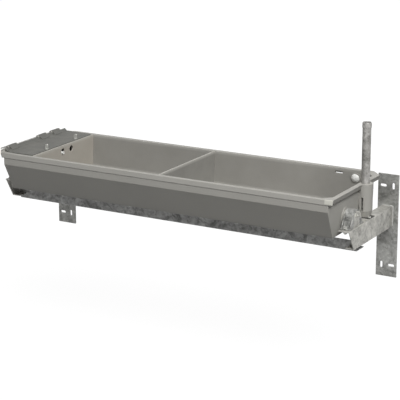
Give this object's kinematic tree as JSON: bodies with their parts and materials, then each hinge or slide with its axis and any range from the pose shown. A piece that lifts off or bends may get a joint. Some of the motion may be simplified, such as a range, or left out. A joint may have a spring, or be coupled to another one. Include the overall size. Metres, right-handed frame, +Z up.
{
  "type": "heated livestock water trough",
  "caption": "Long tipping water trough with a heated floor and a float valve, pivoted on two wall bracket arms.",
  "frame": {"origin": "on the wall plane, at mid length between the wall plates, at the height of the upper fixing slots", "axes": "+X along the trough towards the lever, -Y away from the wall, +Z up"},
  "size_m": [2.048, 0.624, 0.838],
  "materials": {
    "trough_plastic": "matt moulded polyethylene, warm grey",
    "panel_plastic": "matt polyethylene sheet",
    "cover_plastic": "matt moulded polyethylene, darker grey",
    "zinc_steel": "zinc plated",
    "stainless_steel": "satin",
    "galvanised_steel": "hot-dip galvanised, dull",
    "rail_steel": "hot-dip galvanised, dark and dull",
    "cast_steel": "cast and galvanised, rough",
    "brass": "cast and turned, dull",
    "white_plastic": "smooth white",
    "black_plastic": "matt black",
    "heater_rubber": "smooth silicone rubber",
    "foam": "closed-cell foam",
    "pad_rubber": "matt"
  },
  "bodies": {
    "frame": {"bracket_left": "galvanised_steel", "bracket_right": "galvanised_steel", "cross_rail": "rail_steel", "pivot_saddle_left": "galvanised_steel", "pivot_saddle_right": "galvanised_steel", "pivot_clamp_left": "cast_steel", "pivot_clamp_right": "cast_steel", "clamp_bolts": "zinc_steel", "clamp_nuts": "zinc_steel", "rest_pads": "pad_rubber", "rest_bolts": "zinc_steel"},
    "trough": {"trough_shell": "trough_plastic", "valve_partition": "panel_plastic", "centre_divider": "panel_plastic", "cover_hinge_rod": "zinc_steel", "valve_body": "brass", "outlet_nozzle": "white_plastic", "float_pin": "stainless_steel", "inlet_pipe": "brass", "inlet_locknut": "brass", "heating_mat": "heater_rubber", "thermostat": "black_plastic", "insulation_board": "foam", "underside_cover": "cover_plastic", "underside_screws": "stainless_steel", "cable_gland": "black_plastic", "lever_pipe": "galvanised_steel", "lever_ring": "galvanised_steel", "axle_stub_left": "galvanised_steel", "axle_stub_right": "galvanised_steel"},
    "cover": {"valve_cover": "cover_plastic"},
    "screw_front": {"thumb_screw_front": "zinc_steel"},
    "screw_back": {"thumb_screw_back": "zinc_steel"},
    "float_lever": {"float_arm": "brass", "float": "black_plastic"},
    "plunger": {"valve_plunger": "white_plastic"},
    "plug": {"side_plug": "white_plastic"}
  },
  "joints": [
    {"name": "trough_tip", "type": "hinge", "parent": "frame", "child": "trough", "pos_m": [0, -0.426, -0.0525], "axis": [1, 0, 0], "range_deg": [0, 50]},
    {"name": "cover_lift", "type": "hinge", "parent": "trough", "child": "cover", "pos_m": [-0.948, -0.321, 0.0845], "axis": [0, -1, 0], "range_deg": [0, 100]},
    {"name": "screw_front_turn", "type": "hinge", "parent": "cover", "child": "screw_front", "pos_m": [-0.776, -0.454, 0.0855], "axis": [0, 0, 1], "range_deg": [0, 90]},
    {"name": "screw_back_turn", "type": "hinge", "parent": "cover", "child": "screw_back", "pos_m": [-0.776, -0.188, 0.0855], "axis": [0, 0, 1], "range_deg": [0, 90]},
    {"name": "float_swing", "type": "hinge", "parent": "trough", "child": "float_lever", "pos_m": [-0.84, -0.363, 0.02], "axis": [1, 0, 0], "range_deg": [0, 25]},
    {"name": "plunger_travel", "type": "slide", "parent": "trough", "child": "plunger", "axis": [0, -1, 0], "range_m": [0, 0.004]},
    {"name": "plug_pull", "type": "slide", "parent": "trough", "child": "plug", "axis": [0, -1, 0], "range_m": [0, 0.035]}
  ],
  "couplings": [
    {"joint": "plunger_travel", "follows": "float_swing", "m_per_rad": 0.0087}
  ]
}
